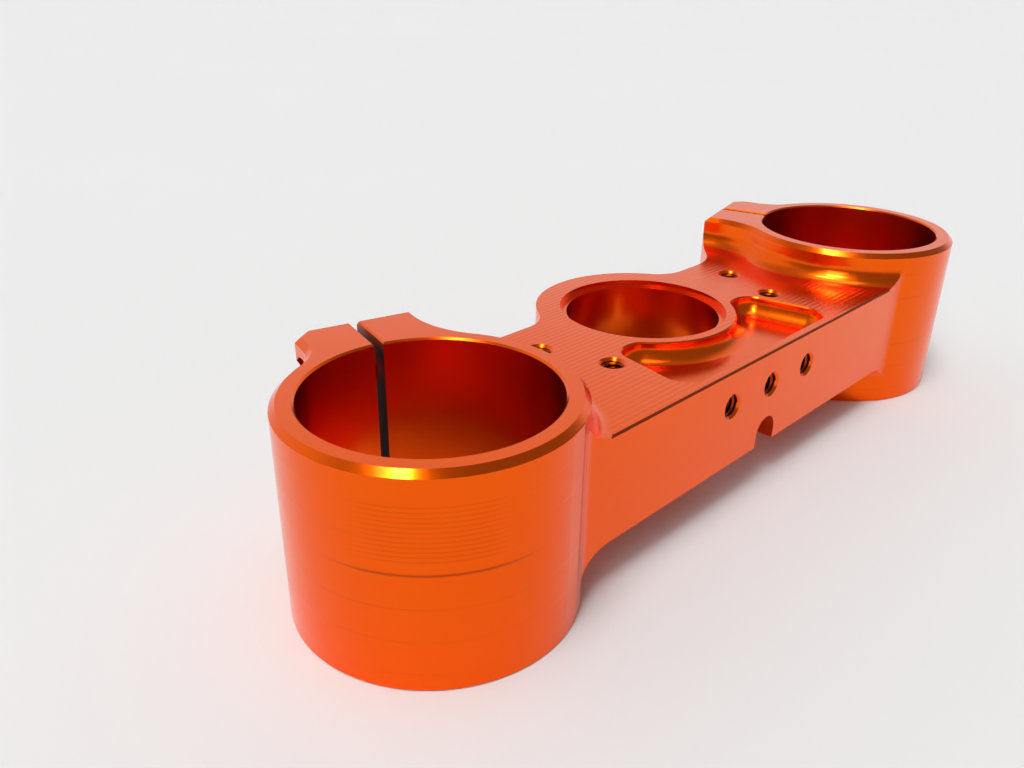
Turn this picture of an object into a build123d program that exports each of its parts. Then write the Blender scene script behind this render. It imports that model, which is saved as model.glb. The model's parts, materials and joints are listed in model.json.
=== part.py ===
"""Lower triple clamp of a motorcycle fork, milled from one aluminium billet.

Frame, in millimetres: the origin is on the stem axis, level with the underside of the bridge. X runs along
the bridge from ring to ring, -Y is the flat front face, +Y the side of the pinch ears, and Z points up.
One half is modelled at +X and mirrored.
"""

import os
from math import atan2, cos, radians, sin, sqrt, tan

from build123d import *

# Fork rings
fork_spacing = 198.0
fork_offset = 16.5
fork_bore_diameter = 60.0
ring_wall = 5.5
ring_height = 54.0
ring_drop = 14.2
rim_chamfer = 1.5
bore_chamfer = 0.5
foot_chamfer = 0.4

# Bridge between the rings
bridge_thickness = 29.4
front_face_offset = 30.0
rear_face_offset = 12.5
front_corner_radius = 6.0
flare_radius = 6.0
flare_wall = 0.5

# Stem seat
stem_bore_diameter = 47.0
stem_lip_width = 2.0
stem_lip_depth = 2.0
stem_boss_wall = 9.5
boss_blend_radius = 12.0

# Pocket round the front of the stem seat
pocket_depth = 6.0
pocket_front_wall = 3.2
pocket_rim_width = 3.2
pocket_rear_offset = 16.0
pocket_tip_width = 9.2
pocket_tip_share = 0.7
pocket_wall_angle = 10.8
pocket_corner_radius = 6.0
pocket_floor_fillet = 4.0
pocket_edge_break = 0.4

# Pinch ears
pinch_angle = 14.5
ear_reach = 48.0
ear_inner_width = 17.0
ear_outer_width = 17.0
ear_inner_blend = 24.0
ear_inner_straight = 1.0
ear_outer_blend = 12.0
ear_corner_cut = 4.0
rear_flank_run = 15.2
rear_flank_radius = 20.0
slit_width = 2.4
slit_edge_break = 0.4

# Pinch screws
pinch_screw_inset = 9.0
pinch_screw_spacing = 33.0
pinch_hole_diameter = 8.4
pinch_head_diameter = 13.0
pinch_head_depth = 6.0
pinch_tap_diameter = 8.0
pinch_tap_depth = 12.0

# Tapped holes for other parts
tap_diameter = 6.0
tap_depth = 14.0
tap_mouth_diameter = 7.6
tap_mouth_angle = 90.0
front_hole_count = 3
front_hole_spacing = 20.0
front_hole_height = 18.8
top_hole_inner_x = 40.0
top_hole_inner_y = -20.7
top_hole_outer_x = 47.4
top_hole_outer_y = -1.0

# Groove under the bridge, from the front face to the stem bore
groove_width = 9.6
groove_height = 8.5

# Room that a cutting shape runs past the face it opens
overrun = 5.0

# Worked out from the sizes above
ring_x = fork_spacing / 2
ring_y = -fork_offset
ring_bottom = -ring_drop
ring_top = ring_bottom + ring_height
bore_radius = fork_bore_diameter / 2
ring_radius = bore_radius + ring_wall
bridge_top = bridge_thickness
front_y = ring_y - front_face_offset
rear_y = rear_face_offset
stem_bore_radius = stem_bore_diameter / 2
stem_lip_radius = stem_bore_radius + stem_lip_width
boss_radius = stem_bore_radius + stem_boss_wall
ear_middle = ring_bottom + ring_height / 2
pinch_screw_reach = ear_reach - pinch_screw_inset
pinch_heights = (ear_middle - pinch_screw_spacing / 2, ear_middle + pinch_screw_spacing / 2)


def blend_run(circle_radius, blend_radius, line_offset):
    """How far along a line, from beside a circle's centre, a blend of line and circle begins."""
    return sqrt((circle_radius + blend_radius) ** 2 - (line_offset + blend_radius) ** 2)


def blend_room(circle_radius, line_offset, wall):
    """The largest blend of line and circle that begins within a wall's length along the line."""
    return (wall**2 + line_offset**2 - circle_radius**2) / (2 * (circle_radius - line_offset))


# Directions at the ear: along the slit, away from the ring, and across it, away from the bridge
slit_x, slit_y = -sin(radians(pinch_angle)), cos(radians(pinch_angle))
along_slit = (slit_x, slit_y, 0)
towards_ring = (-slit_x, -slit_y)
across_slit = (slit_y, -slit_x, 0)


def ear_point(across, along):
    """A place at the ear: across the slit and along it, from the axis of the ring."""
    return (ring_x + across * slit_y + along * slit_x, ring_y - across * slit_x + along * slit_y)


# Where the front face's corner blends into the ring
front_run = blend_run(ring_radius, front_corner_radius, front_face_offset)
front_share = ring_radius / (ring_radius + front_corner_radius)
front_blend_face = (ring_x - front_run, front_y)
front_blend_ring = (
    ring_x - front_run * front_share,
    ring_y - (front_face_offset + front_corner_radius) * front_share,
)

# Where the ear's two sides blend into the ring
outer_wall = ear_reach - ear_corner_cut - rim_chamfer
outer_blend = min(ear_outer_blend, blend_room(ring_radius, ear_outer_width, outer_wall))
outer_run = blend_run(ring_radius, outer_blend, ear_outer_width)
outer_share = ring_radius / (ring_radius + outer_blend)
outer_blend_ear = ear_point(ear_outer_width, outer_run)
outer_blend_ring = ear_point((ear_outer_width + outer_blend) * outer_share, outer_run * outer_share)
inner_wall = ear_reach - rim_chamfer - ear_inner_straight
inner_blend = min(ear_inner_blend, blend_room(ring_radius, ear_inner_width, inner_wall))
inner_run = blend_run(ring_radius, inner_blend, ear_inner_width)
inner_share = ring_radius / (ring_radius + inner_blend)
inner_blend_ear = ear_point(-ear_inner_width, inner_run)
inner_blend_ring = ear_point(-(ear_inner_width + inner_blend) * inner_share, inner_run * inner_share)

# Flares from the bridge up and down to ring and ear, as far as there is wall for them
flare_room = min(flare_radius, inner_blend - flare_wall)
flare_above = min(flare_room, ring_top - bridge_top - rim_chamfer - flare_wall)
flare_below = min(flare_room, ring_drop - foot_chamfer - flare_wall)

# Where the rear face blends into the stem boss
boss_run = blend_run(boss_radius, boss_blend_radius, rear_y)
boss_share = boss_radius / (boss_radius + boss_blend_radius)
boss_blend_face = (boss_run, rear_y)
boss_blend_boss = (boss_run * boss_share, (rear_y + boss_blend_radius) * boss_share)

# Where the rear flank leaves the ear's end, and where it would meet the rear face
flank_top = ear_point(-ear_inner_width, ear_reach)
flank_foot = (flank_top[0] - rear_flank_run, rear_y)
flank_angle = atan2(flank_top[1] - rear_y, rear_flank_run)
flank_radius = min(rear_flank_radius, (flank_foot[0] - boss_run) / tan(flank_angle / 2))

# Plan of one half: front face, ring, ear, rear flank and stem boss
with BuildSketch(Plane.XY.offset(ring_bottom)) as half_plan:
    with BuildLine():
        Line((0, front_y), front_blend_face)
        TangentArc(front_blend_face, front_blend_ring, tangent=(1, 0))
        ThreePointArc(front_blend_ring, (ring_x + ring_radius, ring_y), outer_blend_ring)
        TangentArc(outer_blend_ear, outer_blend_ring, tangent=towards_ring)
        Polyline(
            outer_blend_ear,
            ear_point(ear_outer_width, ear_reach - ear_corner_cut),
            ear_point(ear_outer_width - ear_corner_cut, ear_reach),
            flank_top,
        )
        FilletPolyline(flank_top, flank_foot, boss_blend_face, radius=flank_radius)
        TangentArc(boss_blend_face, boss_blend_boss, tangent=(-1, 0))
        TangentArc((0, boss_radius), boss_blend_boss, tangent=(1, 0))
        Line((0, boss_radius), (0, front_y))
    make_face()


def plan_beside_ring(height):
    """Plan of the space between ring and ear on one side and past the middle of the bridge on the other."""
    reach = flare_radius + overrun
    ring_front = (ring_x, ring_y - ring_radius)
    ear_end = ear_point(-ear_inner_width, max(ear_reach, fork_offset + boss_radius) + reach)
    with BuildSketch(Plane.XY.offset(height)) as plan:
        with BuildLine():
            Polyline(
                ring_front,
                (ring_x, ring_front[1] - reach),
                (-overrun, ring_front[1] - reach),
                (-overrun, ear_end[1]),
                ear_end,
                inner_blend_ear,
            )
            TangentArc(inner_blend_ear, inner_blend_ring, tangent=towards_ring)
            ThreePointArc(inner_blend_ring, (ring_x - ring_radius, ring_y), ring_front)
        make_face()
    return plan.sketch


# What is milled away above and below the bridge, with a flare up to the ring and the ear
with BuildPart() as space_above:
    extrude(plan_beside_ring(bridge_top), amount=ring_top - bridge_top)
    fillet(space_above.faces().sort_by(Axis.Z)[0].edges().filter_by(GeomType.CIRCLE), flare_above)

with BuildPart() as space_below:
    extrude(plan_beside_ring(ring_bottom), amount=ring_drop)
    fillet(space_below.faces().sort_by(Axis.Z)[-1].edges().filter_by(GeomType.CIRCLE), flare_below)

# What is milled out of the bridge in front of the stem seat
pocket_rim_radius = stem_lip_radius + pocket_rim_width
pocket_rear_y = -pocket_rear_offset
pocket_front_y = front_y + pocket_front_wall
pocket_tip_x = sqrt(pocket_rim_radius**2 - pocket_rear_offset**2)
pocket_rear_x = pocket_tip_x + pocket_tip_width
pocket_front_x = pocket_rear_x + (pocket_rear_y - pocket_front_y) * tan(radians(pocket_wall_angle))
pocket_corner = min(pocket_corner_radius, pocket_tip_share * pocket_tip_width)
with BuildPart() as pocket:
    with BuildSketch(Plane.XY.offset(bridge_top - pocket_depth)) as pocket_plan:
        with BuildLine():
            Polyline(
                (-pocket_rear_x, pocket_rear_y),
                (-pocket_front_x, pocket_front_y),
                (pocket_front_x, pocket_front_y),
                (pocket_rear_x, pocket_rear_y),
                close=True,
            )
        make_face()
        Circle(pocket_rim_radius, mode=Mode.SUBTRACT)
        fillet(pocket_plan.vertices(), pocket_corner)
    extrude(amount=pocket_depth)
    fillet(pocket.faces().sort_by(Axis.Z)[0].edges(), pocket_floor_fillet)

# Planes at the ear: its plan, and one for each pinch screw's head and thread
ear_plane = Plane(origin=(ring_x, ring_y, ring_bottom), x_dir=across_slit, z_dir=(0, 0, 1))
slit_length = ear_reach + overrun
head_planes = [
    Plane(origin=(*ear_point(ear_outer_width + overrun, pinch_screw_reach), height), z_dir=across_slit)
    for height in pinch_heights
]
thread_planes = [
    Plane(origin=(*ear_point(0, pinch_screw_reach), height), z_dir=across_slit) for height in pinch_heights
]

with BuildPart() as clamp:
    # One half: block, flares and the edges of ring and ear
    extrude(half_plan.sketch, amount=ring_height)
    add(space_above.part, mode=Mode.SUBTRACT)
    add(space_below.part, mode=Mode.SUBTRACT)
    chamfer(clamp.faces().sort_by(Axis.Z)[-1].edges(), rim_chamfer)
    chamfer(clamp.faces().sort_by(Axis.Z)[0].edges(), foot_chamfer)

    # Fork bore
    with Locations((ring_x, ring_y, ring_top)):
        Hole(bore_radius, depth=ring_height)
    chamfer(clamp.edges(Select.LAST).filter_by(GeomType.CIRCLE), bore_chamfer)

    # Slit through ring and ear
    with BuildSketch(ear_plane):
        with Locations((0, slit_length / 2)):
            Rectangle(slit_width, slit_length)
    extrude(amount=ring_height, mode=Mode.SUBTRACT)
    slit_edges = clamp.edges(Select.LAST).filter_by(Axis((0, 0, 0), along_slit))
    chamfer(slit_edges.group_by(Axis.Z)[-1], slit_edge_break)

    # Pinch screws: head and shank in the outer lug, thread in the inner one
    with Locations(*head_planes):
        CounterBoreHole(
            pinch_hole_diameter / 2, pinch_head_diameter / 2, pinch_head_depth + overrun, ear_outer_width + overrun
        )
    with Locations(*thread_planes):
        Hole(pinch_tap_diameter / 2, depth=slit_width / 2 + pinch_tap_depth)

    # Tapped holes in the top of the bridge
    with Locations(
        (top_hole_inner_x, top_hole_inner_y, bridge_top), (top_hole_outer_x, top_hole_outer_y, bridge_top)
    ):
        CounterSinkHole(tap_diameter / 2, tap_mouth_diameter / 2, tap_depth, tap_mouth_angle)

    # The other half
    mirror(about=Plane.YZ)

    # Stem bore with its lip, and the pocket
    with Locations((0, 0, bridge_top)):
        CounterBoreHole(stem_bore_radius, stem_lip_radius, stem_lip_depth, bridge_thickness)
    add(pocket.part, mode=Mode.SUBTRACT)
    chamfer(clamp.edges(Select.LAST).group_by(Axis.Z)[-1], pocket_edge_break)

    # Groove under the bridge
    with BuildSketch(Plane.XZ):
        SlotOverall(2 * groove_height, groove_width, rotation=90)
    extrude(amount=overrun - front_y, mode=Mode.SUBTRACT)

    # Tapped holes in the front face
    with Locations(Plane(origin=(0, front_y, front_hole_height), x_dir=(1, 0, 0), z_dir=(0, -1, 0))):
        with GridLocations(front_hole_spacing, front_hole_spacing, front_hole_count, 1):
            CounterSinkHole(tap_diameter / 2, tap_mouth_diameter / 2, tap_depth, tap_mouth_angle)

clamp.part.label = "lower_triple_clamp"
os.makedirs("parts", exist_ok=True)
export_step(clamp.part, "parts/lower_triple_clamp.step")
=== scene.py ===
"""Looks of the lower triple clamp: satin orange anodised aluminium, cutter's marks, threads and studio."""
import json
from math import cos, pi, radians, sin

import bmesh
import bpy
from mathutils import Matrix, Vector

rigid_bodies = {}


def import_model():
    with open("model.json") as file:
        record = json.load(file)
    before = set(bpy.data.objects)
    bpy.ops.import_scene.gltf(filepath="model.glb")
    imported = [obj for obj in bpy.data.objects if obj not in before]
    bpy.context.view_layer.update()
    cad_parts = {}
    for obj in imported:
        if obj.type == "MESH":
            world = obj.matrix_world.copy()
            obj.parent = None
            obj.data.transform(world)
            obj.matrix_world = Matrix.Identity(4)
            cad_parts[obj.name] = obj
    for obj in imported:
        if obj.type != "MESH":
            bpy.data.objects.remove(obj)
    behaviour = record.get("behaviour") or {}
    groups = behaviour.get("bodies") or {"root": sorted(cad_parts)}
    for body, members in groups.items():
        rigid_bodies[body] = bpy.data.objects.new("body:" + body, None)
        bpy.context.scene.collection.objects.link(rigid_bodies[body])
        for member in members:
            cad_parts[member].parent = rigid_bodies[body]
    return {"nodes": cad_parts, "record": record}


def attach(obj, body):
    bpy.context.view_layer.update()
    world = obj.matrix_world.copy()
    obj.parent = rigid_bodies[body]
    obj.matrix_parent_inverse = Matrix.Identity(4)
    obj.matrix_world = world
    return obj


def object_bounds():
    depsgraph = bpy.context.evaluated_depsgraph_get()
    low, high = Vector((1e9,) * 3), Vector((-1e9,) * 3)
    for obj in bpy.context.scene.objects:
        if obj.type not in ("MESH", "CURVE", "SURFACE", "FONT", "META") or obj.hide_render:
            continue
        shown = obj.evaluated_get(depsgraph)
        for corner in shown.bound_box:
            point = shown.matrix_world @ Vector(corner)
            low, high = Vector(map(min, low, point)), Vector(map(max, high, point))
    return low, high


for leftover in list(bpy.data.objects):
    bpy.data.objects.remove(leftover)

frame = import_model()
cad_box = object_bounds()
clamp = frame["nodes"]["lower_triple_clamp"]
mounts = {mount["name"]: mount for mount in frame["record"]["mounts"]}

MM = 0.001
FLOOR_Z = cad_box[0][2]

# Rings, saw cuts and stem bore, in the row frame
RING_X, RING_Y = mounts["right_fork_clamp"]["pos_m"][:2]
RING_TOP = cad_box[1][2]
RING_RADIUS = 35.5 * MM
BORE_RADIUS = mounts["right_fork_clamp"]["dims"]["r_mm"] * MM
STEM_BORE_RADIUS = mounts["stem_bore"]["dims"]["r_mm"] * MM
PINCH_X, PINCH_Y = mounts["right_pinch_screws"]["axis"][:2]
SLIT_HALF_WIDTH = 1.3 * MM

# Bridge and pocket: the sides of the pocket lean with y
BRIDGE_TOP = 29.4 * MM
BRIDGE_TOP_END = 72.0 * MM
FRONT_Y = -46.5 * MM
POCKET_FLOOR = 23.4 * MM
POCKET_HOLLOW = 5.4 * MM
POCKET_EDGE = 0.4 * MM
POCKET_REAR_Y, POCKET_FRONT_Y = -14.0 * MM, -44.0 * MM
POCKET_RIM_RADIUS = 28.0 * MM
POCKET_SIDE, POCKET_SIDE_SLOPE = 30.5 * MM, 0.19

# Tapped holes: the places of those in the top, and the row in the front face
TAPPED_RADIUS = 3.1 * MM
TAPPED_DEPTH = 14.0 * MM
TOP_INNER_HOLE, TOP_OUTER_HOLE = (
    (mounts[name]["dims"]["spacing_x_mm"] / 2 * MM, mounts[name]["pos_m"][1])
    for name in ("top_inner_holes", "top_outer_holes")
)
FRONT_HOLE_SPACING = mounts["front_outer_holes"]["dims"]["spacing_x_mm"] / 2 * MM
FRONT_HOLE_HEIGHT = mounts["front_outer_holes"]["pos_m"][2]

# Threads of the tapped holes: their start below the mouth, their section and the points of a turn
THREAD_START, THREAD_LENGTH = 0.9 * MM, 12.4 * MM
THREAD_PITCH = 1.0 * MM
THREAD_MAJOR, THREAD_MINOR = 3.02 * MM, 2.5 * MM
THREAD_ROOT, THREAD_CREST = 0.44 * MM, 0.06 * MM
THREAD_END_HEIGHT, THREAD_END_TURNS = 0.03 * MM, 0.6
TURN_POINTS = 28
THREAD_SHARP_ANGLE = radians(30)

# How far a point may lie from a face and still be on it, and the slopes of upright and of flat faces
FACE_REACH = 0.1 * MM
RING_REACH = 0.3 * MM
RIM_REACH = 0.2 * MM
UPRIGHT_SLOPE = 0.3
FACES_UP_FROM, FACES_UP_TO = 0.97, 0.995
FACES_FRONT = -0.97
FACES_CUT = 0.9

# Uneven patches: how many lie on a metre, and the range that is used of their values
WAVER_SCALE = 60.0
UNEVEN_SCALE, UNEVEN_RANGE = 45.0, (0.3, 0.7)
UNEVEN_LOW, UNEVEN_HIGH = 0.5, 1.2
LINE_SCALE, LINE_RANGE = 35.0, (0.35, 0.65)
DYE_SCALE, DYE_DETAIL, DYE_RANGE = 14.0, 3.0, (0.3, 0.7)
GLOSS_SCALE, GLOSS_DETAIL, GLOSS_RANGE = 90.0, 4.0, (0.3, 0.75)
FLOOR_SCALE = 3.0

# Rows of the cutter on the bridge's top and on the pocket's floor
ROW_PITCH, ROW_HEIGHT = 1.75 * MM, 0.022 * MM
POCKET_ROW_PITCH, POCKET_ROW_HEIGHT = 0.8 * MM, 0.004 * MM
ROW_WAVER = 0.12 * MM

# Grooves of the cutter on the outer side of each ring
GROOVE_PITCH, GROOVE_HEIGHT = 1.15 * MM, 0.02 * MM
GROOVE_HEIGHTS, GROOVE_FADE = (19.5 * MM, 32.0 * MM), 1.5 * MM
GROOVE_ANGLES, GROOVE_ANGLE_FADE = (radians(-147), radians(-115)), radians(18)

# Steps and lines between the cutter's passes round the rings, and the one deep step
PASS_HEIGHTS = (32.5 * MM, 24.2 * MM, 7.5 * MM, -1.0 * MM, -9.5 * MM)
PASS_STEP, PASS_RUN = 0.03 * MM, 0.2 * MM
PASS_LINE, PASS_LINE_FADE = 0.05 * MM, 0.25 * MM
DEEP_HEIGHT = 16.0 * MM
DEEP_STEP, DEEP_RUN = 0.09 * MM, 0.4 * MM
DEEP_LINE_BELOW, DEEP_LINE_ABOVE, DEEP_LINE_FADE = 0.15 * MM, 0.05 * MM, 0.4 * MM
DEEP_ANGLES, DEEP_ANGLE_FADE = (radians(-148), radians(-113)), radians(26)

# The flat on the left ring beside the front face and the lip after it: begin, way they face and end
FLAT_FROM, FLAT_FACES, FLAT_TO = radians(-75), radians(-72), radians(-65.5)
LIP_FROM, LIP_FACES, LIP_TO = radians(-63.5), radians(-66), radians(-60)

# Width of the broken edge along the top of the front face
EDGE_ON_TOP, EDGE_ON_FRONT = 0.5 * MM, 0.55 * MM

# Colours of the dye, the share of it taken away by painted shade in hollows, marks and on edges, and the
# gloss
DYE_DEEP, DYE_LIGHT = (0.97, 0.11, 0.001, 1), (0.99, 0.125, 0.002, 1)
GROOVE_PAINTED_SHADE = 0.18
PASS_PAINTED_SHADE, DEEP_PAINTED_SHADE = 0.14, 0.45
EDGE_PAINTED_SHADE = 0.45
FLAT_LINE_PAINTED_SHADE = 0.3
BORE_PAINTED_SHADE = 0.14
HOLE_PAINTED_SHADE = 0.65
CUT_PAINTED_SHADE, CUT_PAINTED_SHADE_AT_TOP, CUT_FADE = 0.86, 0.35, 3.5 * MM
GLOSSY, SATIN = 0.19, 0.24
CUT_ROUGHNESS = 0.3
COAT, COAT_ROUGHNESS = 0.1, 0.07

# Smoothing of the clamp's mesh
DOUBLE_POINTS = 0.0005 * MM
SHARP_ANGLE = radians(28)
FLAT_ANGLE = radians(0.05)
FACE_WEIGHT = 100

# Floor: half its width, its two tones and its roughness
FLOOR_REACH = 15.0
FLOOR_TONES = (0.75, 0.77)
FLOOR_ROUGHNESS = 0.8

# Room: headings are azimuth from +X and elevation in degrees, and a level of 1 is white
ROOM_LEVEL, ROOM_MOST = 0.25, 0.8
PALE_HEADING, PALE_RANGE = (70, 20), (0.1, 0.6)
PALE_LEVEL, PALE_LEVEL_ABOVE, ABOVE_RANGE = 0.54, 0.15, (0.6, 0.85)
BACKDROP_LEVEL, BACKDROP_RANGE = 0.55, (0.12, 0.3)
OVERHEAD_LEVEL, OVERHEAD_RANGE = 2.2, (0.965, 0.985)
WINDOW_HEADING, WINDOW_FOOT, WINDOW_HEAD = (-165, 53), (-161, 30), (-188, 76)
WINDOW_LEVEL = 4.8
WINDOW_HALF_WIDTH, WINDOW_SIDE_FADE = 0.13, 0.06
WINDOW_HALF_HEIGHT, WINDOW_END_FADE = 0.45, 0.08
LAMPS = (("sky", (-161, 58), 0.6), ("high_sky", (175, 72), 0.3))
LAMP_ANGLE = radians(10)

# Camera: the photo's viewpoint, found from the edges of the rings and the bridge
CAMERA_PLACE = (-0.21273, -0.15402, 0.12602)
CAMERA_YAW, CAMERA_PITCH, CAMERA_ROLL = 0.790734, 0.444669, -0.011786
FOCAL_PIXELS, IMAGE_WIDTH = 890.017, 1024
SENSOR_WIDTH = 36.0
CLIP_NEAR, CLIP_FAR = 0.01, 100


class Nodes:
    """Short hand for building a node tree."""

    def __init__(self, tree):
        self.tree = tree
        tree.nodes.clear()

    def add(self, kind, inputs=None, **settings):
        node = self.tree.nodes.new(kind)
        for name, value in settings.items():
            setattr(node, name, value)
        for key, value in (inputs or {}).items():
            self.put(node.inputs[key], value)
        return node

    def put(self, socket, value):
        if isinstance(value, bpy.types.NodeSocket):
            self.tree.links.new(value, socket)
        else:
            socket.default_value = value

    def math(self, operation, *values):
        node = self.add("ShaderNodeMath", operation=operation)
        for socket, value in zip(node.inputs, values):
            self.put(socket, value)
        return node.outputs[0]

    def total(self, *values):
        result = values[0]
        for value in values[1:]:
            result = self.math("ADD", result, value)
        return result

    def product(self, *values):
        result = values[0]
        for value in values[1:]:
            result = self.math("MULTIPLY", result, value)
        return result

    def minus(self, first, second):
        return self.math("SUBTRACT", first, second)

    def ratio(self, first, second):
        return self.math("DIVIDE", first, second)

    def size(self, value):
        return self.math("ABSOLUTE", value)

    def length(self, first, second):
        return self.math("SQRT", self.total(self.product(first, first), self.product(second, second)))

    def other_leg(self, leg):
        """The second leg of a right triangle with a long side of 1."""
        return self.math("SQRT", self.math("MAXIMUM", self.minus(1.0, self.product(leg, leg)), 0.0))

    def below(self, value, limit):
        return self.math("LESS_THAN", value, limit)

    def above(self, value, limit):
        return self.math("GREATER_THAN", value, limit)

    def near(self, value, centre, reach):
        """1 close to a value and 0 elsewhere, with hard edges."""
        return self.math("COMPARE", value, centre, reach)

    def within(self, value, low, high):
        """1 between two values and 0 outside them, with hard edges."""
        return self.near(value, (low + high) / 2, (high - low) / 2)

    def ramp(self, value, low, high, out_low=0.0, out_high=1.0):
        """A smooth step from one value to another."""
        node = self.add(
            "ShaderNodeMapRange",
            {"Value": value, "From Min": low, "From Max": high, "To Min": out_low, "To Max": out_high},
            interpolation_type="SMOOTHSTEP",
        )
        return node.outputs["Result"]

    def band(self, value, low, high, edge):
        """1 between two values and 0 outside them, with soft edges."""
        return self.product(self.ramp(value, low - edge, low), self.ramp(value, high, high + edge, 1.0, 0.0))

    def wave(self, value, pitch):
        return self.math("SINE", self.product(value, 2 * pi / pitch))

    def split(self, vector):
        return self.add("ShaderNodeSeparateXYZ", {"Vector": vector}).outputs

    def dot(self, first, second):
        node = self.add("ShaderNodeVectorMath", {0: first, 1: second}, operation="DOT_PRODUCT")
        return node.outputs["Value"]

    def noise(self, vector, scale, detail=2.0):
        node = self.add("ShaderNodeTexNoise", {"Vector": vector, "Scale": scale, "Detail": detail})
        return node.outputs["Fac"]


class Place:
    """Where a point of the clamp lies, which way it faces and what it is on, as outputs of nodes."""

    def __init__(self, n):
        coordinates = n.add("ShaderNodeTexCoord").outputs
        self.point = coordinates["Object"]
        self.x, self.y, self.z = n.split(self.point)
        self.facing_x, self.facing_y, self.facing_z = n.split(coordinates["Normal"])
        self.from_middle = n.size(self.x)
        self.from_stem = n.length(self.x, self.y)

        # Round its ring: angle 0 is towards the bridge, a right angle less is the front
        self.side = n.math("SIGN", self.x)
        self.across = n.minus(self.from_middle, RING_X)
        self.along = n.minus(self.y, RING_Y)
        self.radius = n.length(self.across, self.along)
        self.angle = n.math("ARCTAN2", self.along, n.product(self.across, -1.0))

        # Faces with cutter's marks of their own
        self.upright = n.below(n.size(self.facing_z), UPRIGHT_SLOPE)
        faces_up = n.ramp(self.facing_z, FACES_UP_FROM, FACES_UP_TO)
        self.on_ring_wall = n.product(n.near(self.radius, RING_RADIUS, RING_REACH), self.upright)
        self.on_top = n.product(faces_up, n.near(self.z, BRIDGE_TOP, FACE_REACH))
        self.on_pocket_floor = n.product(faces_up, n.near(self.z, POCKET_FLOOR, FACE_REACH))


def cutter_marks(n, at):
    """Height of the cutter's marks, and the painted shade in their grooves and along their steps."""
    uneven = n.ramp(n.noise(at.point, UNEVEN_SCALE), *UNEVEN_RANGE, UNEVEN_LOW, UNEVEN_HIGH)

    # Rows on the bridge's top and on the floor of the pocket
    wavering_y = n.total(at.y, n.product(n.noise(at.point, WAVER_SCALE), ROW_WAVER))
    rows = n.product(n.wave(wavering_y, ROW_PITCH), at.on_top, uneven, ROW_HEIGHT)
    pocket_rows = n.product(
        n.wave(wavering_y, POCKET_ROW_PITCH), at.on_pocket_floor, uneven, POCKET_ROW_HEIGHT
    )

    # Grooves on the outer side of each ring
    groove_zone = n.product(
        n.band(at.z, *GROOVE_HEIGHTS, GROOVE_FADE),
        n.band(at.angle, *GROOVE_ANGLES, GROOVE_ANGLE_FADE),
        at.on_ring_wall,
    )
    grooves = n.product(n.wave(at.z, GROOVE_PITCH), groove_zone, uneven)

    # Steps between the passes round the rings, with a line of painted shade along each
    patches = n.ramp(n.noise(at.point, LINE_SCALE), *LINE_RANGE)
    patchy = n.product(patches, n.minus(1.0, groove_zone))
    steps, shade_lines = [], []
    for height in PASS_HEIGHTS:
        rise = n.ramp(at.z, height - PASS_RUN, height + PASS_RUN)
        line = n.band(at.z, height - PASS_LINE, height + PASS_LINE, PASS_LINE_FADE)
        steps.append(n.product(rise, PASS_STEP))
        shade_lines.append(n.product(line, patchy, PASS_PAINTED_SHADE))
    deep_zone = n.band(at.angle, *DEEP_ANGLES, DEEP_ANGLE_FADE)
    deep_rise = n.ramp(at.z, DEEP_HEIGHT - DEEP_RUN, DEEP_HEIGHT)
    # A stronger line of painted shade along the deep step
    deep_line = n.band(at.z, DEEP_HEIGHT - DEEP_LINE_BELOW, DEEP_HEIGHT + DEEP_LINE_ABOVE, DEEP_LINE_FADE)
    steps.append(n.product(deep_rise, deep_zone, DEEP_STEP))
    shade_lines.append(n.product(deep_line, deep_zone, DEEP_PAINTED_SHADE))

    step = n.product(n.total(*steps), at.on_ring_wall)
    painted_shade_of_lines = n.product(n.total(*shade_lines), at.on_ring_wall)
    # Painted shade in the bottoms of the grooves
    painted_shade_of_grooves = n.ramp(grooves, 0.0, -1.0, 0.0, GROOVE_PAINTED_SHADE)
    raised = n.total(rows, pocket_rows, n.product(grooves, GROOVE_HEIGHT), step)
    return raised, n.total(painted_shade_of_lines, painted_shade_of_grooves)


def flat_and_lip(n, at):
    """Turn along X and Y of the flat and the lip on the left ring, and the line between them, which gets
    painted shade.
    """
    on_rim = n.product(n.above(at.radius, RING_RADIUS - RIM_REACH), n.below(at.x, 0.0))
    flat_turn = n.product(n.minus(FLAT_FACES, at.angle), n.within(at.angle, FLAT_FROM, FLAT_TO))
    lip_turn = n.product(n.minus(LIP_FACES, at.angle), n.within(at.angle, LIP_FROM, LIP_TO))
    turn = n.ratio(n.product(n.total(flat_turn, lip_turn), on_rim), at.radius)
    line = n.product(n.within(at.angle, FLAT_TO, LIP_FROM), on_rim, at.upright)
    return n.product(turn, at.along, at.side), n.product(turn, at.across, -1.0), line


def broken_edge(n, at):
    """The broken edge above the front face: its strip on the top and its strip on the front."""
    on_bridge = n.below(at.from_middle, BRIDGE_TOP_END)
    on_front = n.product(n.below(at.facing_y, FACES_FRONT), n.near(at.y, FRONT_Y, FACE_REACH))
    edge_on_top = n.product(at.on_top, on_bridge, n.below(at.y, FRONT_Y + EDGE_ON_TOP))
    edge_on_front = n.product(on_front, on_bridge, n.near(at.z, BRIDGE_TOP, EDGE_ON_FRONT))
    return edge_on_top, edge_on_front


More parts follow.
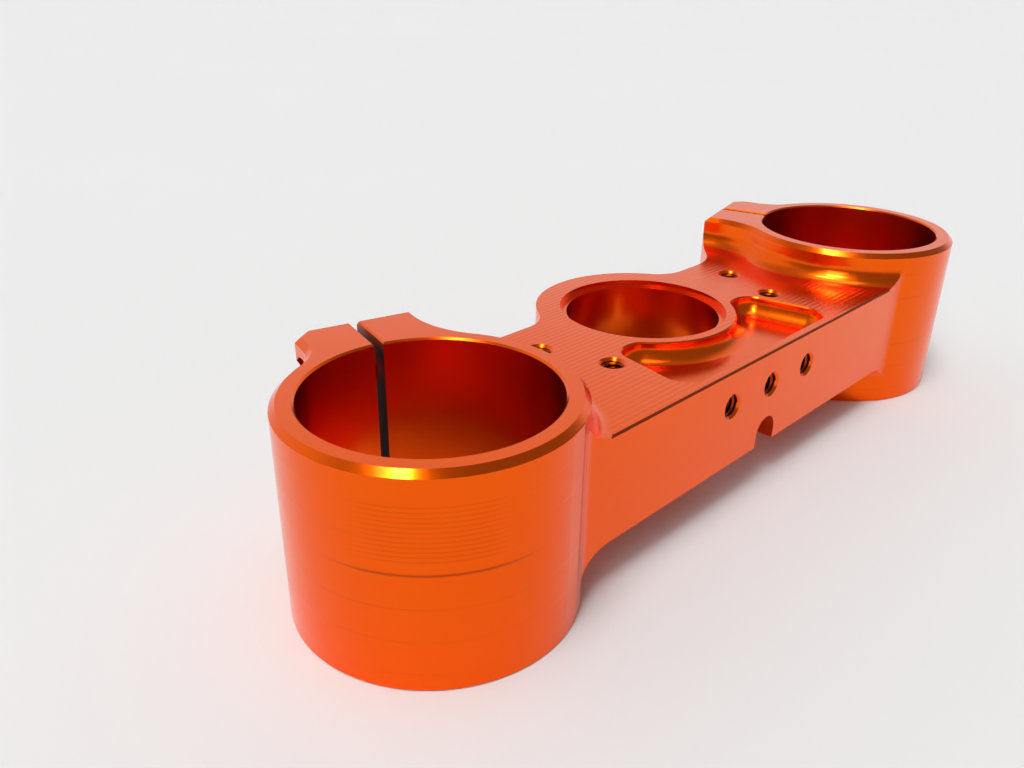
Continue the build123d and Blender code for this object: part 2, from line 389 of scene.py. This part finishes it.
def pocket_turn(n, at):
    """Turn along Z of the pocket's walls, which curve up from its floor in one hollow."""
    on_wall = n.product(
        n.within(at.z, POCKET_FLOOR + POCKET_EDGE, BRIDGE_TOP - POCKET_EDGE),
        n.within(at.y, POCKET_FRONT_Y, POCKET_REAR_Y),
        n.above(at.from_stem, POCKET_RIM_RADIUS),
        n.below(n.total(at.from_middle, n.product(at.y, POCKET_SIDE_SLOPE)), POCKET_SIDE),
    )
    rise = n.ratio(n.minus(at.z, POCKET_FLOOR), POCKET_HOLLOW)
    upward = n.math("MINIMUM", n.math("MAXIMUM", n.minus(1.0, rise), 0.0), 0.99)
    slope = n.ratio(upward, n.other_leg(upward))
    hollow = n.product(n.other_leg(at.facing_z), slope)
    return n.product(n.minus(hollow, at.facing_z), on_wall)


def turned_normal(n, x, y, z):
    """The surface's own normal, turned by a vector."""
    turn = n.add("ShaderNodeCombineXYZ", {"X": x, "Y": y, "Z": z}).outputs["Vector"]
    own = n.add("ShaderNodeNewGeometry").outputs["Normal"]
    both = n.add("ShaderNodeVectorMath", {0: own, 1: turn}, operation="ADD").outputs["Vector"]
    return n.add("ShaderNodeVectorMath", {0: both}, operation="NORMALIZE").outputs["Vector"]


def saw_cut(n, at):
    """The walls of the saw cut through each ear."""
    from_cut = n.total(n.product(at.across, PINCH_X), n.product(at.along, PINCH_Y))
    faces_cut = n.total(n.product(at.facing_x, at.side, PINCH_X), n.product(at.facing_y, PINCH_Y))
    return n.product(
        n.below(n.size(from_cut), SLIT_HALF_WIDTH),
        n.above(n.size(faces_cut), FACES_CUT),
        n.above(at.radius, BORE_RADIUS),
        n.above(at.along, 0.0),
    )


def tapped_holes(n, at):
    """The inside of the tapped holes, in the front face and in the top."""
    from_row = n.math("PINGPONG", at.x, FRONT_HOLE_SPACING / 2)
    inside = n.product(
        n.below(n.length(from_row, n.minus(at.z, FRONT_HOLE_HEIGHT)), TAPPED_RADIUS),
        n.below(at.from_middle, 1.5 * FRONT_HOLE_SPACING),
        n.below(at.y, FRONT_Y + TAPPED_DEPTH),
    )
    for hole_x, hole_y in (TOP_INNER_HOLE, TOP_OUTER_HOLE):
        from_hole = n.length(n.minus(at.from_middle, hole_x), n.minus(at.y, hole_y))
        in_hole = n.product(n.below(from_hole, TAPPED_RADIUS), n.above(at.z, BRIDGE_TOP - TAPPED_DEPTH))
        inside = n.total(inside, in_hole)
    return inside


def anodised_aluminium():
    """Satin orange anodised metal, with the cutter's marks and small faces that the clamp has, and painted
    shade in its hollows, marks and edges.
    """
    material = bpy.data.materials.new("anodised_aluminium_looks")
    material.use_nodes = True
    n = Nodes(material.node_tree)
    at = Place(n)

    # Cutter's marks are raised, and small faces turn the surface
    marks, marks_painted_shade = cutter_marks(n, at)
    flat_x, flat_y, flat_line = flat_and_lip(n, at)
    edge_on_top, edge_on_front = broken_edge(n, at)
    turn_y = n.minus(flat_y, edge_on_top)
    turn_z = n.total(pocket_turn(n, at), edge_on_front)
    normal = turned_normal(n, flat_x, turn_y, turn_z)
    bump = n.add("ShaderNodeBump", {"Height": marks, "Strength": 1.0, "Distance": 1.0, "Normal": normal})

    # The dye is a little uneven
    dye = n.add("ShaderNodeValToRGB", {"Fac": n.noise(at.point, DYE_SCALE, DYE_DETAIL)})
    deep, light = dye.color_ramp.elements
    deep.position, light.position = DYE_RANGE
    deep.color, light.color = DYE_DEEP, DYE_LIGHT

    # Painted shade darkens the dye in bores, holes and cuts, on the broken edge and in the cutter's marks
    in_cut = saw_cut(n, at)
    in_fork_bore = n.near(at.radius, BORE_RADIUS, FACE_REACH)
    in_stem_bore = n.near(at.from_stem, STEM_BORE_RADIUS, FACE_REACH)
    painted_shade = n.total(
        marks_painted_shade,
        # Painted shade on the broken edge above the front face
        n.product(n.total(edge_on_top, edge_on_front), EDGE_PAINTED_SHADE),
        # Painted shade in the line between the flat and the lip
        n.product(flat_line, FLAT_LINE_PAINTED_SHADE),
        # Painted shade inside the bores
        n.product(n.total(in_fork_bore, in_stem_bore), at.upright, BORE_PAINTED_SHADE),
        # Painted shade in the saw cut, darker further down
        n.product(in_cut, n.ramp(at.z, RING_TOP - CUT_FADE, RING_TOP, CUT_PAINTED_SHADE, CUT_PAINTED_SHADE_AT_TOP)),
        # Painted shade inside the tapped holes
        n.product(tapped_holes(n, at), HOLE_PAINTED_SHADE),
    )
    colour = n.add(
        "ShaderNodeVectorMath", {0: dye.outputs["Color"], "Scale": n.minus(1.0, painted_shade)}, operation="SCALE"
    )

    # The saw cut is dull
    satin = n.ramp(n.noise(at.point, GLOSS_SCALE, GLOSS_DETAIL), *GLOSS_RANGE, GLOSSY, SATIN)
    shader = n.add(
        "ShaderNodeBsdfPrincipled",
        {
            "Base Color": colour.outputs["Vector"],
            "Metallic": 1.0,
            "Roughness": n.total(satin, n.product(in_cut, CUT_ROUGHNESS)),
            "Coat Weight": COAT,
            "Coat Roughness": COAT_ROUGHNESS,
            "Normal": bump.outputs["Normal"],
        },
    )
    n.add("ShaderNodeOutputMaterial", {"Surface": shader.outputs["BSDF"]})
    return material


def smooth_by_angle():
    """A modifier's node group: merges doubled points, drops stored normals and smooths the gentle edges."""
    group = bpy.data.node_groups.new("smooth_by_angle", "GeometryNodeTree")
    group.interface.new_socket("Geometry", in_out="INPUT", socket_type="NodeSocketGeometry")
    group.interface.new_socket("Geometry", in_out="OUTPUT", socket_type="NodeSocketGeometry")
    n = Nodes(group)
    start = n.add("NodeGroupInput")
    merged = n.add(
        "GeometryNodeMergeByDistance", {"Geometry": start.outputs["Geometry"], "Distance": DOUBLE_POINTS}
    )
    edge_angle = n.add("GeometryNodeInputMeshEdgeAngle")
    sharp = n.add("FunctionNodeCompare", {0: edge_angle.outputs[0], 1: SHARP_ANGLE}, operation="GREATER_THAN")
    shaded = n.add(
        "GeometryNodeSetMeshNormal",
        {
            "Mesh": merged.outputs["Geometry"],
            "Remove Custom": True,
            "Edge Sharpness": sharp.outputs[0],
            "Face Sharpness": False,
        },
        mode="SHARPNESS",
    )
    n.add("NodeGroupOutput", {"Geometry": shaded.outputs["Mesh"]})
    return group


def dress_clamp(metal):
    """Gives the clamp its metal, with smooth curves and flat faces."""
    clamp.data.materials.clear()
    clamp.data.materials.append(metal)
    smooth = clamp.modifiers.new("smooth", "NODES")
    smooth.node_group = smooth_by_angle()
    flat = clamp.modifiers.new("flat_faces", "DECIMATE")
    flat.decimate_type, flat.angle_limit = "DISSOLVE", FLAT_ANGLE
    weighted = clamp.modifiers.new("weighted", "WEIGHTED_NORMAL")
    weighted.mode, weighted.keep_sharp, weighted.weight = "FACE_AREA", True, FACE_WEIGHT


def thread(name, start, out, metal):
    """The closed ridge of a thread on the wall of a tapped hole, wound down from its start."""
    turns = THREAD_LENGTH / THREAD_PITCH
    count = int(turns * TURN_POINTS) + 1
    points, faces = [], []
    for i in range(count):
        turn = i / TURN_POINTS
        fade = min(1.0, turn / THREAD_END_TURNS, (turns - turn) / THREAD_END_TURNS)
        inner = THREAD_MAJOR - max(THREAD_END_HEIGHT, (THREAD_MAJOR - THREAD_MINOR) * fade)
        section = (
            (THREAD_MAJOR, THREAD_ROOT),
            (inner, THREAD_CREST),
            (inner, -THREAD_CREST),
            (THREAD_MAJOR, -THREAD_ROOT),
        )
        angle, drop = 2 * pi * turn, turn * THREAD_PITCH
        for radius, rise in section:
            points.append((radius * cos(angle), radius * sin(angle), rise - drop))
    for i in range(count - 1):
        for k in range(4):
            here, beside = 4 * i + k, 4 * i + (k + 1) % 4
            faces.append((here, here + 4, beside + 4, beside))
    last = 4 * (count - 1)
    faces += [(0, 1, 2, 3), (last + 3, last + 2, last + 1, last)]

    mesh = bpy.data.meshes.new(name)
    mesh.from_pydata(points, [], faces)
    mesh.update()
    mesh.shade_smooth()
    mesh.set_sharp_from_angle(angle=THREAD_SHARP_ANGLE)
    turned = Vector(out).to_track_quat("Z", "Y").to_matrix().to_4x4()
    mesh.transform(Matrix.Translation(Vector(start)) @ turned)
    mesh.materials.append(metal)
    ridge = bpy.data.objects.new(name, mesh)
    bpy.context.scene.collection.objects.link(ridge)
    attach(ridge, "root")


def threads(metal):
    """The threads of the four holes in the top and of the three in the front face."""
    for side, label in ((-1, "left"), (1, "right")):
        for row, (hole_x, hole_y) in (("inner", TOP_INNER_HOLE), ("outer", TOP_OUTER_HOLE)):
            start = (side * hole_x, hole_y, BRIDGE_TOP - THREAD_START)
            thread(f"thread_top_{row}_{label}", start, (0, 0, 1), metal)
    for number in range(3):
        start = ((number - 1) * FRONT_HOLE_SPACING, FRONT_Y + THREAD_START, FRONT_HOLE_HEIGHT)
        thread(f"thread_front_{number}", start, (0, -1, 0), metal)


def paper_floor():
    """A plain pale floor."""
    mesh = bpy.data.meshes.new("floor")
    form = bmesh.new()
    bmesh.ops.create_grid(form, x_segments=1, y_segments=1, size=FLOOR_REACH)
    form.to_mesh(mesh)
    form.free()
    floor = bpy.data.objects.new("floor", mesh)
    floor.location.z = FLOOR_Z
    bpy.context.scene.collection.objects.link(floor)

    paper = bpy.data.materials.new("white_paper")
    paper.use_nodes = True
    n = Nodes(paper.node_tree)
    place = n.add("ShaderNodeTexCoord").outputs["Object"]
    tone = n.add("ShaderNodeValToRGB", {"Fac": n.noise(place, FLOOR_SCALE)})
    for element, level in zip(tone.color_ramp.elements, FLOOR_TONES):
        element.color = (level, level, level, 1)
    sheet = n.add(
        "ShaderNodeBsdfPrincipled", {"Base Color": tone.outputs["Color"], "Roughness": FLOOR_ROUGHNESS}
    )
    n.add("ShaderNodeOutputMaterial", {"Surface": sheet.outputs["BSDF"]})
    mesh.materials.append(paper)


def heading(azimuth, elevation):
    """The direction with an azimuth from +X and an elevation, in degrees."""
    a, e = radians(azimuth), radians(elevation)
    return Vector((cos(a) * cos(e), sin(a) * cos(e), sin(e)))


def window(n, direction):
    """A tall window to the left of the camera, which leans from its foot to its head."""
    out = heading(*WINDOW_HEADING)
    upright = heading(*WINDOW_HEAD) - heading(*WINDOW_FOOT)
    upright = (upright - upright.dot(out) * out).normalized()
    ahead = n.dot(direction, out)
    aside = n.ratio(n.dot(direction, upright.cross(out)), ahead)
    above = n.ratio(n.dot(direction, upright), ahead)
    pane = n.product(
        n.band(aside, -WINDOW_HALF_WIDTH, WINDOW_HALF_WIDTH, WINDOW_SIDE_FADE),
        n.band(above, -WINDOW_HALF_HEIGHT, WINDOW_HALF_HEIGHT, WINDOW_END_FADE),
    )
    return n.product(pane, n.above(ahead, 0.0), WINDOW_LEVEL)


def room():
    """A room that is pale low down and behind the object, dim in front of it and light overhead.

    Its ranges are sines of the elevation, and the pale part's is cosines of the angle to its heading.
    """
    world = bpy.data.worlds.new("room")
    bpy.context.scene.world = world
    world.use_nodes = True
    n = Nodes(world.node_tree)
    direction = n.add("ShaderNodeTexCoord").outputs["Generated"]
    up = n.split(direction)["Z"]
    behind = n.ramp(n.dot(direction, heading(*PALE_HEADING)), *PALE_RANGE)
    pale = n.product(behind, n.ramp(up, *ABOVE_RANGE, PALE_LEVEL, PALE_LEVEL_ABOVE))
    backdrop = n.ramp(up, *BACKDROP_RANGE, BACKDROP_LEVEL, 0.0)
    walls = n.math("MINIMUM", n.total(ROOM_LEVEL, pale, backdrop), ROOM_MOST)
    overhead = n.ramp(up, *OVERHEAD_RANGE, 0.0, OVERHEAD_LEVEL)
    strength = n.total(walls, overhead, window(n, direction))
    light = n.add("ShaderNodeBackground", {"Color": (1.0, 1.0, 1.0, 1), "Strength": strength})
    n.add("ShaderNodeOutputWorld", {"Surface": light.outputs["Background"]})


def window_lamps():
    """The brightest parts of the window."""
    for name, towards, energy in LAMPS:
        data = bpy.data.lights.new(name, "SUN")
        data.energy, data.angle = energy, LAMP_ANGLE
        lamp = bpy.data.objects.new(name, data)
        lamp.rotation_euler = heading(*towards).to_track_quat("Z", "Y").to_euler()
        bpy.context.scene.collection.objects.link(lamp)


def camera():
    """The camera at the photo's viewpoint."""
    level = cos(CAMERA_PITCH)
    forward = Vector((sin(CAMERA_YAW) * level, cos(CAMERA_YAW) * level, -sin(CAMERA_PITCH)))
    level_right = Vector((cos(CAMERA_YAW), -sin(CAMERA_YAW), 0))
    level_down = forward.cross(level_right)
    right = cos(CAMERA_ROLL) * level_right + sin(CAMERA_ROLL) * level_down
    down = cos(CAMERA_ROLL) * level_down - sin(CAMERA_ROLL) * level_right
    data = bpy.data.cameras.new("camera")
    data.sensor_width = SENSOR_WIDTH
    data.lens = FOCAL_PIXELS / IMAGE_WIDTH * SENSOR_WIDTH
    data.clip_start, data.clip_end = CLIP_NEAR, CLIP_FAR
    made = bpy.data.objects.new("camera", data)
    turn = Matrix((right, -down, -forward)).transposed().to_4x4()
    made.matrix_world = Matrix.Translation(CAMERA_PLACE) @ turn
    bpy.context.scene.collection.objects.link(made)
    bpy.context.scene.camera = made


anodised = anodised_aluminium()
dress_clamp(anodised)
threads(anodised)
paper_floor()
room()
window_lamps()
camera()
bpy.context.scene.view_settings.view_transform = "Standard"
